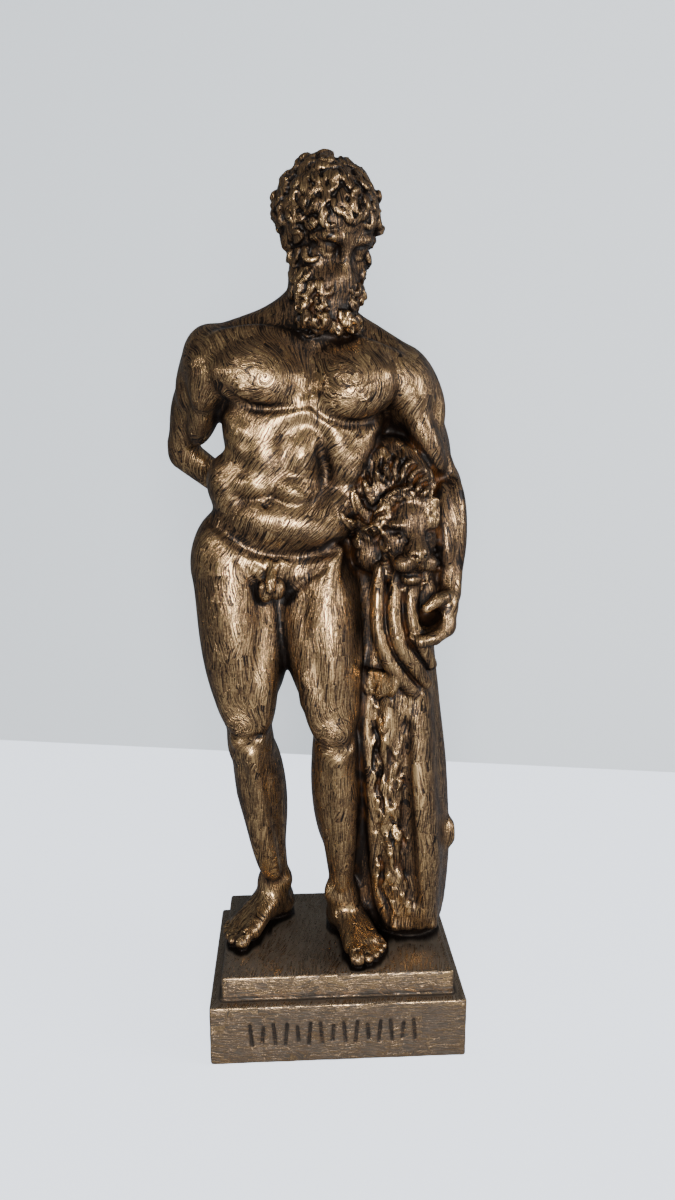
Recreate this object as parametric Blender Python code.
"""A small cast statuette: a bearded athlete at rest beside a trunk hung with a lion's pelt.

The figure, the trunk and the two-step plinth are one casting, so they are one solid.
Metres, +Z up. The origin is the middle of the plinth's underside, and the figure faces -Y.

The figure is laid out on a grid of 300 steps to the statuette's full height, measured from
the underside, with x to the viewer's right and y away from the viewer. The plinth has its
own sizes, and the figure stands on whatever they give.
"""

import math

import bmesh
import bpy
from mathutils import Matrix, Vector

# Sizes of the real thing, in metres.
STATUE_HEIGHT = 0.300
PLINTH_WIDTH = 0.088
PLINTH_DEPTH = 0.063
BLOCK_HEIGHT = 0.0218
SLAB_HEIGHT = 0.0085
SLAB_INSET = 0.004
EDGE_BEVEL = 0.0008

# One row of shallow marks across the front of the plinth's block.
MARK_COUNT = 15
MARK_SPAN = 0.056
MARK_LENGTH = 0.0080
MARK_SHORT = 0.0058
MARK_WIDTH = 0.0011
MARK_DEPTH = 0.0006
MARK_CENTRE_X = -0.002
MARK_LEAN = math.radians(9)

# The figure's layout grid.
GRID_STEPS = 300.0
GRID_FLOOR = 30.3
SLAB_TOP = BLOCK_HEIGHT + SLAB_HEIGHT
GRID = (STATUE_HEIGHT - SLAB_TOP) / (GRID_STEPS - GRID_FLOOR)

# How finely the figure is skinned.
VOXEL = 1.05 * GRID
SMOOTH_FACTOR = 0.5
SMOOTH_PASSES = 9
FIGURE_TRIANGLES = 9000
ROUND_STEPS = 20
CURL_COUNT = 84

BRONZE_PAINT = (0.185, 0.125, 0.062, 1.0)
PAINT_METALLIC = 0.75
PAINT_ROUGHNESS = 0.42

FRONT = Vector((0, -1, 0))
BACK = Vector((0, 1, 0))
SIDES = (-1, 1)


def clear_scene():
    """Remove whatever the file holds."""
    for old in list(bpy.data.objects):
        bpy.data.objects.remove(old, do_unlink=True)


def spot(point):
    """A point of the layout grid, in metres."""
    x, y, z = point
    return Vector((x, y, z - GRID_FLOOR)) * GRID + Vector((0, 0, SLAB_TOP))


def tilt(x=0.0, y=0.0, z=0.0):
    """Turns in degrees about X, then Y, then Z."""
    about_x = Matrix.Rotation(math.radians(x), 3, "X")
    about_y = Matrix.Rotation(math.radians(y), 3, "Y")
    about_z = Matrix.Rotation(math.radians(z), 3, "Z")
    return about_z @ about_y @ about_x


def smooth_path(points, count):
    """Evenly counted points on a smooth curve that passes through the given ones."""
    given = [Vector(p) for p in points]
    run = [2 * given[0] - given[1], *given, 2 * given[-1] - given[-2]]
    path = []
    for step in range(count):
        along = step * (len(given) - 1) / (count - 1)
        i = min(int(along), len(given) - 2)
        t = along - i
        a, b, c, d = run[i : i + 4]
        slope = c - a
        bend = 2 * a - 5 * b + 4 * c - d
        twist = 3 * b - a - 3 * c + d
        path.append(0.5 * (2 * b + slope * t + bend * t**2 + twist * t**3))
    return path


class Form:
    """Closed lumps and limbs in one mesh, to be skinned together."""

    def __init__(self):
        self.bm = bmesh.new()

    def ball(self, centre, radii, turn=None):
        """An ellipsoid with its radii along its own turned axes."""
        axes = (turn or tilt()).to_4x4()
        scale = Matrix.Diagonal((*radii, 1 / GRID)) * GRID
        place = Matrix.Translation(spot(centre)) @ axes @ scale
        bmesh.ops.create_icosphere(self.bm, subdivisions=3, radius=1, matrix=place)

    def belly(self, start, end, wide, deep, face=FRONT):
        """A muscle: an ellipsoid from start to end, its depth along face."""
        start = Vector(start)
        end = Vector(end)
        along = (end - start).normalized()
        out = (face - along * face.dot(along)).normalized()
        side = out.cross(along)
        turn = Matrix((side, out, along)).transposed()
        self.ball((start + end) / 2, (wide, deep, (end - start).length / 2), turn)

    def limb(self, points, radii):
        """Rounded cones from point to point."""
        points = [Vector(p) for p in points]
        for centre, radius in zip(points, radii):
            self.ball(centre, (radius, radius, radius))
        for i in range(len(points) - 1):
            run = points[i + 1] - points[i]
            turn = run.to_track_quat("Z", "Y").to_matrix().to_4x4()
            place = Matrix.Translation(spot((points[i] + points[i + 1]) / 2)) @ turn
            bmesh.ops.create_cone(
                self.bm,
                cap_ends=True,
                segments=ROUND_STEPS,
                radius1=radii[i] * GRID,
                radius2=radii[i + 1] * GRID,
                depth=run.length * GRID,
                matrix=place,
            )

    def rope(self, points, start, end, count=9):
        """A limb along a smooth curve, its radius going from start to end."""
        radii = [start + (end - start) * i / (count - 1) for i in range(count)]
        self.limb(smooth_path(points, count), radii)

    def mesh(self, name):
        """The lumps as one mesh."""
        data = bpy.data.meshes.new(name)
        self.bm.to_mesh(data)
        self.bm.free()
        return data


def model_trunk_of_body(form):
    """Chest, waist, hips and neck, with the muscles that show in the outline."""
    form.ball((-10, 4.5, 221), (26, 16.5, 26), tilt(y=9))
    form.ball((-15.9, 2.5, 198), (21.6, 14.5, 25), tilt(y=12))
    form.ball((-20, 3.5, 176), (24.5, 15.5, 16), tilt(y=6))
    form.limb([(-38, 5, 235.5), (-9, 6, 236), (21, 4, 228)], (9.5, 11, 9))
    form.limb([(-8, 8, 240), (-2.5, 5, 262)], (11.5, 9.6))
    form.limb([(-8, 9, 256), (-24, 8, 247), (-38, 6.5, 241)], (6.5, 6.5, 6))
    form.limb([(2, 8.5, 249), (13, 8, 242.5), (24, 6, 236)], (6.5, 6.5, 5.8))
    form.ball((-29.5, 8, 216), (7.5, 11, 19), tilt(y=-6))
    form.ball((9, 8, 213), (6.5, 11, 18), tilt(y=14))
    # Breast muscles.
    form.ball((-25.5, -7.3, 230.5), (17, 7.6, 12), tilt(y=5, z=10))
    form.ball((5, -7.8, 226.8), (14.8, 7.6, 11.8), tilt(y=8, z=-10))
    # Rim of the rib cage.
    form.rope([(-10.5, -10, 220), (-4.5, -10.6, 214), (2, -8.8, 205), (5.5, -4.5, 198)], 2.6, 2.6)
    form.rope([(-14, -10, 220), (-24, -9.6, 213), (-31, -6.8, 205), (-35, -2.5, 199)], 2.6, 2.6)
    # Belly, on a midline that bends towards the standing leg.
    form.ball((-17.6, -5.4, 206), (13, 8.4, 13.5), tilt(y=13))
    form.ball((-21.3, -3.2, 184.5), (17, 10.4, 14), tilt(y=6))
    form.ball((-35.5, 1.5, 192.5), (8, 13, 11.5), tilt(y=-12))
    form.ball((-1.8, 2.2, 189.5), (9.5, 12.4, 11), tilt(y=10))
    # Hips, seat and loins.
    form.ball((-36, 4, 172), (12, 13, 14))
    form.ball((-31, 12.5, 167.5), (14, 12.5, 14.5))
    form.ball((-7, 11.5, 163.5), (13, 12, 13.5))
    form.ball((-21.8, -7.5, 167), (8.5, 6, 6))
    form.ball((-22, -11.3, 161.2), (4.2, 4.2, 4.8))
    # Long muscles beside the spine, and the shoulder blades.
    for side in SIDES:
        form.belly((-20 + side * 6.5, 12.5, 174), (-11 + side * 8, 16, 228), 6, 5, BACK)
    form.belly((-21, 16, 221), (-35, 12, 240), 8.5, 5.5, BACK)
    form.belly((1, 16, 218), (18, 12, 235), 8.5, 5.5, BACK)
    form.belly((-9, 14, 218), (-5, 11, 262), 12, 7, BACK)
    form.ball((-7, 10.5, 244), (19, 8.5, 10.5), tilt(y=12))


def model_hand(form, knuckle, across, bones, radii):
    """Four fingers side by side, each a bent limb that starts from its knuckle."""
    for finger in range(4):
        start = Vector(knuckle) + Vector(across) * finger
        form.limb([start] + [start + Vector(bone) for bone in bones], radii)


def model_bent_arm(form):
    """The arm that goes behind the hip, its hand resting there."""
    form.ball((-40.3, 4.5, 233), (9.8, 11, 14.2), tilt(y=-8))
    form.limb([(-42, 6, 232), (-52.5, 21, 209)], (7.8, 5.8))
    form.belly((-39.5, 0, 230), (-47, 14, 209), 5.8, 6.2)
    form.belly((-47, 11, 232), (-55, 22.5, 211), 5.2, 6.7)
    form.ball((-54.8, 24.5, 206.8), (3.6, 4, 4.8))
    form.limb([(-52.2, 23, 205), (-41, 28, 195.2), (-33, 29, 191)], (6, 5.1, 4.2))
    form.ball((-27, 27, 188.5), (7.5, 3.8, 6), tilt(y=25))
    model_hand(
        form,
        (-22.5, 27.2, 190.6),
        (-0.2, 0, -3.1),
        ((5.5, 0.2, -2.2), (10.5, -2.8, -3.8)),
        (2.1, 1.9, 1.6),
    )
    form.limb([(-30, 27.2, 193), (-24.5, 26.8, 196), (-19, 24.5, 196.5)], (2.4, 2, 1.7))


def model_hanging_arm(form):
    """The arm that rests over the pelt, its hand lying open in front of the trunk."""
    form.ball((25.2, 3.5, 227), (9.2, 10.7, 13.2), tilt(y=-12))
    form.limb([(26.5, 4, 223), (38, 6, 197)], (7.2, 5.8))
    form.belly((25.5, -1.5, 223.5), (36, 0.5, 200), 5, 5.4)
    form.belly((29.5, 9, 226), (39.5, 10, 201), 5.2, 5.7)
    form.limb([(39.2, 5, 194), (40, -1, 176), (39.4, -7, 159)], (5.9, 5.4, 3.9))
    form.belly((40.8, 1, 197), (40.4, -4, 168), 4.8, 5)
    form.ball((37.2, -10, 154), (4.1, 4.9, 6.4), tilt(y=20))
    model_hand(
        form,
        (37.4, -13.8, 151.4),
        (-0.6, 2.8, -0.3),
        ((-5, -1.6, -2.2), (-9.4, -1.6, -0.8), (-11.2, -0.6, 1.4)),
        (2, 1.9, 1.7, 1.4),
    )
    form.limb([(36.2, -13, 158), (32, -15.6, 157.2), (28, -15.9, 155)], (2.2, 2, 1.7))


def model_foot(form, heel, ahead, ankle, inner):
    """A bare foot on the slab. inner is the side of the big toe, +1 or -1."""
    ahead = Vector((*ahead, 0)).normalized()
    across = Vector((-ahead.y, ahead.x, 0)) * inner
    heel = Vector((*heel, GRID_FLOOR))

    def at(along, side, up):
        return heel + ahead * along + across * side + Vector((0, 0, up))

    form.ball(at(0, 0, 5), (6.2, 6.2, 6.9))
    form.limb([ankle, at(7, 0.3, 8)], (5.2, 5.7))
    form.limb([at(3, -0.5, 5.5), at(13, -1.5, 4.5), at(21, -1.5, 3)], (5.6, 4.8, 3.6))
    form.limb([at(6, 1.5, 9.5), at(14, 2.6, 6.6), at(21.5, 4.2, 3.6)], (5.2, 4.2, 3.7))
    form.limb([at(8, -2, 7), at(20, -4.5, 3)], (4.6, 3))
    for toe in range(5):
        radius = 2.9 if toe == 0 else 2.1 - 0.07 * toe
        side = 4.9 - 2.95 * toe + 0.1 * toe
        reach = 30.6 - 0.35 * toe**2
        back = at(reach - 9.5, side * 0.82, radius + 1.1)
        middle = at(reach - 4.6, side, radius + 1)
        tip = at(reach - radius, side * 1.02, radius - 0.1)
        form.limb([back, middle, tip], (radius, radius, radius))


def model_standing_leg(form):
    """The leg that carries the weight."""
    form.limb([(-33.5, 3.5, 166), (-30, 1, 120)], (15, 9.5))
    form.belly((-42.2, 4, 176), (-35.8, -1, 115), 7.8, 10.7)
    form.belly((-36, -6.5, 178), (-30, -6, 115), 8.4, 7.8)
    form.belly((-24.5, -3.5, 150), (-25, -4.5, 109), 5.8, 6.8)
    form.belly((-24.5, 3, 170), (-21.8, 3, 120), 7.4, 11.2)
    form.belly((-33, 12, 162), (-29, 7.5, 110), 11.5, 8.5, BACK)
    form.limb([(-30, 0.5, 120), (-29.4, 1.5, 103)], (9.2, 8.2))
    form.ball((-30.2, -6, 111.5), (5.8, 3.6, 6.4))
    form.limb([(-29.6, 3, 104), (-27, 5, 84), (-22, 9, 52), (-21.9, 9.5, 46)], (7.8, 8.2, 5.2, 5.4))
    form.belly((-32.5, 8, 109), (-28, 11, 64), 5.6, 7.7, BACK)
    form.belly((-24.5, 8, 105), (-21, 12, 61), 5.8, 8.2, BACK)
    form.belly((-31.5, 1, 102), (-24.5, 4, 46), 4.8, 5.2)
    form.limb([(-28.6, -5.4, 101), (-25.5, -3, 80), (-21.2, 2.6, 52)], (2.4, 2.2, 2.2))
    form.limb([(-22.8, 14, 66), (-18.5, 18.5, 38)], (3.4, 2.6))
    model_foot(form, (-20, 14.5), (-0.63, -0.777), (-21.9, 9.5, 46), 1)


def model_free_leg(form):
    """The leg at ease, a little ahead and beside the trunk."""
    form.limb([(-5.5, 2, 161), (-0.8, -5, 118)], (13.5, 8.8))
    form.belly((1.6, 1, 173), (4.2, -6, 114), 6.6, 9.7)
    form.belly((-4, -6.8, 175), (-0.5, -11, 115), 8.1, 7.5)
    form.belly((-9.8, -6.5, 149), (-6, -10, 110), 5.2, 6.5)
    form.belly((-13, 0, 166), (-8, -2, 120), 7, 10.7)
    form.belly((-6.5, 10, 160), (-1, 1, 110), 10, 8, BACK)
    form.limb([(-0.8, -6, 119), (0.2, -5, 103)], (8, 7.2))
    form.ball((0.8, -12, 110.8), (5.4, 3.5, 6.2))
    form.limb([(0.2, -4, 104), (0.8, -3, 86), (2.4, -2, 54), (2.6, -2.2, 46)], (7.4, 7.8, 4.8, 5.2))
    form.belly((4.6, 0, 108), (4.4, 4, 64), 5.1, 7.6, BACK)
    form.belly((-4.3, 0, 109), (-1.6, 4.5, 62), 5.4, 8, BACK)
    form.belly((3, -7, 101), (4, -3.5, 46), 4.4, 5)
    form.limb([(0.6, -11, 100.5), (1.2, -9.4, 80), (2.2, -6.6, 52)], (2.3, 2.1, 2.1))
    form.limb([(1.8, 5, 66), (0.8, 8, 38)], (3.2, 2.5))
    model_foot(form, (2.4, 5), (0.33, -0.944), (2.6, -2.2, 46), -1)


def model_head(form):
    """A bowed, bearded head of a plain make, turned towards the trunk."""
    yaw = math.radians(25)
    bow = math.radians(29)
    right = Vector((math.cos(yaw), math.sin(yaw), 0))
    ahead = Vector((math.sin(yaw) * math.cos(bow), -math.cos(yaw) * math.cos(bow), -math.sin(bow)))
    up = ahead.cross(right)
    turn = Matrix((right, ahead, up)).transposed()
    middle = Vector((-2.4, 3.5, 275))

    def ball(x, y, z, radii):
        form.ball(middle + turn @ Vector((x, y, z)), radii, turn)

    def limb(points, radii):
        form.limb([middle + turn @ Vector(p) for p in points], radii)

    ball(0, -1.5, 5, (14, 17, 15.5))
    # Cap of hair, with the curls' mean thickness.
    ball(0, -3, 6.8, (15.8, 17.5, 15.8))
    ball(0, 7, -5, (11, 9.4, 14))
    ball(0, 8.6, 7, (11, 6.8, 7))
    for side in SIDES:
        ball(side * 7.6, 11, -4, (3.8, 3.4, 3.2))
        ball(side * 15.2, -1.2, -2.4, (2.3, 3.6, 5.8))
        ball(side * 8.6, 5, -12, (4, 6.2, 10))
        limb([(side * 1.4, 15.3, 3.3), (side * 4.5, 15.8, 4.9), (side * 9, 12.5, 4)], (1.3, 1.5, 1.3))
    limb([(0, 14.6, 3.2), (0, 17, -2.5), (0, 19, -6.4)], (1.7, 1.6, 2))
    # Full beard.
    ball(0, 8.5, -18.5, (10.6, 9.2, 11))
    ball(0, 11.5, -25.5, (7.4, 6.8, 7.6))
    # Lumps of curls over the cap and down the beard, spread by the golden angle.
    for lump in range(CURL_COUNT):
        rise = 1 - 2 * (lump + 0.5) / CURL_COUNT
        turned = lump * math.pi * (3 - math.sqrt(5))
        level = math.sqrt(1 - rise**2)
        x = level * math.cos(turned)
        y = level * math.sin(turned)
        on_cap = rise > -0.5 and not (y > 0.45 and rise < 0.3) and not (abs(x) > 0.75 and rise < -0.2)
        if on_cap:
            ball(x * 15.4, y * 17 - 3, rise * 15.2 + 6.8, (2.7, 2.7, 2.7))
        if y > 0.15 and abs(rise) < 0.9:
            ball(x * 9.4, y * 8 + 9.5, rise * 13 - 20.5, (2.3, 2.3, 2.3))


def model_trunk_of_tree(form):
    """The trunk beside the free leg, with a knob and the pelt's flap."""
    path = [(20.5, 8, 204), (22, 8.5, 180), (22.5, 8, 150), (23.2, 7.5, 122)]
    path += [(26.8, 7, 92), (28.4, 7, 62), (27.4, 6.5, 36), (27.4, 6.5, GRID_FLOOR)]
    form.limb(path, (8, 11, 13, 13.6, 14.8, 14.8, 12, 12.2))
    # The web that joins it to the leg, the hip and the arm above.
    form.rope([(11, 6, 200), (9, 6, 150), (10, 5, 120), (11.5, 4, 90), (14, 5, 36)], 6, 6.4, 9)
    form.rope([(22, 8, 222), (32, 9, 200), (34, 6, 172)], 5, 6)
    form.ball((42.6, 2, 67.5), (3.2, 4.2, 5))
    for fold in range(4):
        x = 13.5 + 3.8 * fold
        y = -4 - 2.4 * fold + 0.35 * fold**2
        run = [(x + 1, y + 2, 128), (x - 0.5, y - 0.5, 105), (x + 1.5, y, 80), (x + 2.5, y + 1.5, 37)]
        form.rope(run, 3, 3)


def model_pelt(form):
    """The pelt over the trunk's top: a mane, a lion's mask and three swags."""
    form.ball((20.5, 0, 188), (13.4, 11.4, 19))
    form.ball((26, 1, 168), (13, 9, 22))
    form.ball((22, -8, 180.5), (11.4, 9, 12))
    form.ball((14, 0, 196), (7, 8, 20))
    form.ball((25, -12.5, 184.5), (7.8, 6.2, 6))
    form.ball((24.8, -17.5, 176), (5.4, 6, 4.8))
    form.ball((23.6, -14, 168.2), (6.4, 5.2, 3.8))
    form.ball((12.6, -10.5, 178.2), (4.4, 3.8, 5.2))
    for swag in range(3):
        x = 14.8 + 5.1 * swag
        low = 126 + 5.5 * swag
        run = [(x, -12, 163), (x - 1.7, -14.2, (163 + low) / 2 + 5), (x + 4, -14.5, low + 7)]
        run.append((min(x + 12.5, 31), -9.5, low))
        form.rope(run, 2.3, 2.8)


def add_modifier(target, kind, **settings):
    """One modifier on an object."""
    modifier = target.modifiers.new(kind.title(), kind)
    for name, value in settings.items():
        setattr(modifier, name, value)
    return modifier


def link(name, data):
    """A new object in the scene."""
    made = bpy.data.objects.new(name, data)
    bpy.context.scene.collection.objects.link(made)
    return made


def make_guide(guide):
    """Keep a helper out of the render."""
    guide.hide_render = True
    guide.display_type = "WIRE"


def triangle_count(source):
    """Triangles of an object as its modifiers leave it."""
    evaluated = source.evaluated_get(bpy.context.evaluated_depsgraph_get())
    data = evaluated.to_mesh()
    data.calc_loop_triangles()
    count = len(data.loop_triangles)
    evaluated.to_mesh_clear()
    return count


def make_figure():
    """The figure, the trunk and the pelt as one closed skin."""
    form = Form()
    model_trunk_of_body(form)
    model_bent_arm(form)
    model_hanging_arm(form)
    model_standing_leg(form)
    model_free_leg(form)
    model_head(form)
    model_trunk_of_tree(form)
    model_pelt(form)
    figure = link("figure_form", form.mesh("figure_form"))
    make_guide(figure)
    add_modifier(figure, "REMESH", mode="VOXEL", voxel_size=VOXEL, use_smooth_shade=True)
    add_modifier(figure, "SMOOTH", factor=SMOOTH_FACTOR, iterations=SMOOTH_PASSES)
    share = FIGURE_TRIANGLES / triangle_count(figure)
    add_modifier(figure, "DECIMATE", ratio=min(share, 1.0))
    return figure


def box(bm, low, high):
    """A closed box between two corners."""
    low = Vector(low)
    high = Vector(high)
    place = Matrix.Translation((low + high) / 2) @ Matrix.Diagonal((*(high - low), 1))
    return bmesh.ops.create_cube(bm, size=1, matrix=place)["verts"]


def make_plinth():
    """The block with its inset slab, all edges but the lowest slightly rounded."""
    bm = bmesh.new()
    half_x = PLINTH_WIDTH / 2
    half_y = PLINTH_DEPTH / 2
    box(bm, (-half_x, -half_y, 0), (half_x, half_y, BLOCK_HEIGHT))
    top = max(bm.faces, key=lambda face: face.calc_center_median().z)
    bmesh.ops.inset_individual(bm, faces=[top], thickness=SLAB_INSET, use_even_offset=True)
    raised = bmesh.ops.extrude_discrete_faces(bm, faces=[top])["faces"]
    bmesh.ops.translate(bm, verts=list(raised[0].verts), vec=(0, 0, SLAB_HEIGHT))
    edges = [e for e in bm.edges if max(v.co.z for v in e.verts) > BLOCK_HEIGHT / 2]
    inner = [e for e in edges if is_slab_foot(e)]
    bmesh.ops.bevel(
        bm,
        geom=[e for e in edges if e not in inner],
        offset=EDGE_BEVEL,
        segments=2,
        profile=0.5,
        affect="EDGES",
    )
    data = bpy.data.meshes.new("statue")
    bm.to_mesh(data)
    bm.free()
    return link("statue", data)


def is_slab_foot(edge):
    """Whether an edge lies in the corner between the block and the slab."""
    inset_x = PLINTH_WIDTH / 2 - SLAB_INSET / 2
    level = all(abs(v.co.z - BLOCK_HEIGHT) < EDGE_BEVEL for v in edge.verts)
    return level and all(abs(v.co.x) < inset_x for v in edge.verts)


def make_marks():
    """Shallow upright and leaning marks in one row, as a cutter."""
    bm = bmesh.new()
    pitch = MARK_SPAN / (MARK_COUNT - 1)
    for mark in range(MARK_COUNT):
        lean = MARK_LEAN * (1 if mark % 2 else -1)
        length = MARK_SHORT if mark % 3 == 1 else MARK_LENGTH
        x = MARK_CENTRE_X - MARK_SPAN / 2 + pitch * mark
        place = Matrix.Translation((x, -PLINTH_DEPTH / 2, BLOCK_HEIGHT / 2))
        place = place @ Matrix.Rotation(lean, 4, "Y")
        place = place @ Matrix.Diagonal((MARK_WIDTH, MARK_DEPTH * 2, length, 1))
        bmesh.ops.create_cube(bm, size=1, matrix=place)
    data = bpy.data.meshes.new("marks")
    bm.to_mesh(data)
    bm.free()
    marks = link("marks", data)
    make_guide(marks)
    return marks


def bronze_paint():
    """The rubbed bronze-coloured paint of the whole casting."""
    material = bpy.data.materials.new("bronze_paint")
    material.use_nodes = True
    shader = material.node_tree.nodes["Principled BSDF"]
    shader.inputs["Base Color"].default_value = BRONZE_PAINT
    shader.inputs["Metallic"].default_value = PAINT_METALLIC
    shader.inputs["Roughness"].default_value = PAINT_ROUGHNESS
    return material


def main():
    """Build the statuette."""
    clear_scene()
    figure = make_figure()
    statue = make_plinth()
    add_modifier(statue, "BOOLEAN", operation="UNION", solver="EXACT", object=figure)
    cut = add_modifier(statue, "BOOLEAN", operation="DIFFERENCE", solver="EXACT", object=make_marks())
    cut.name = "Marks"
    statue.data.materials.append(bronze_paint())
    statue.data.shade_smooth()
    statue.data.set_sharp_from_angle(angle=math.radians(40))


main()
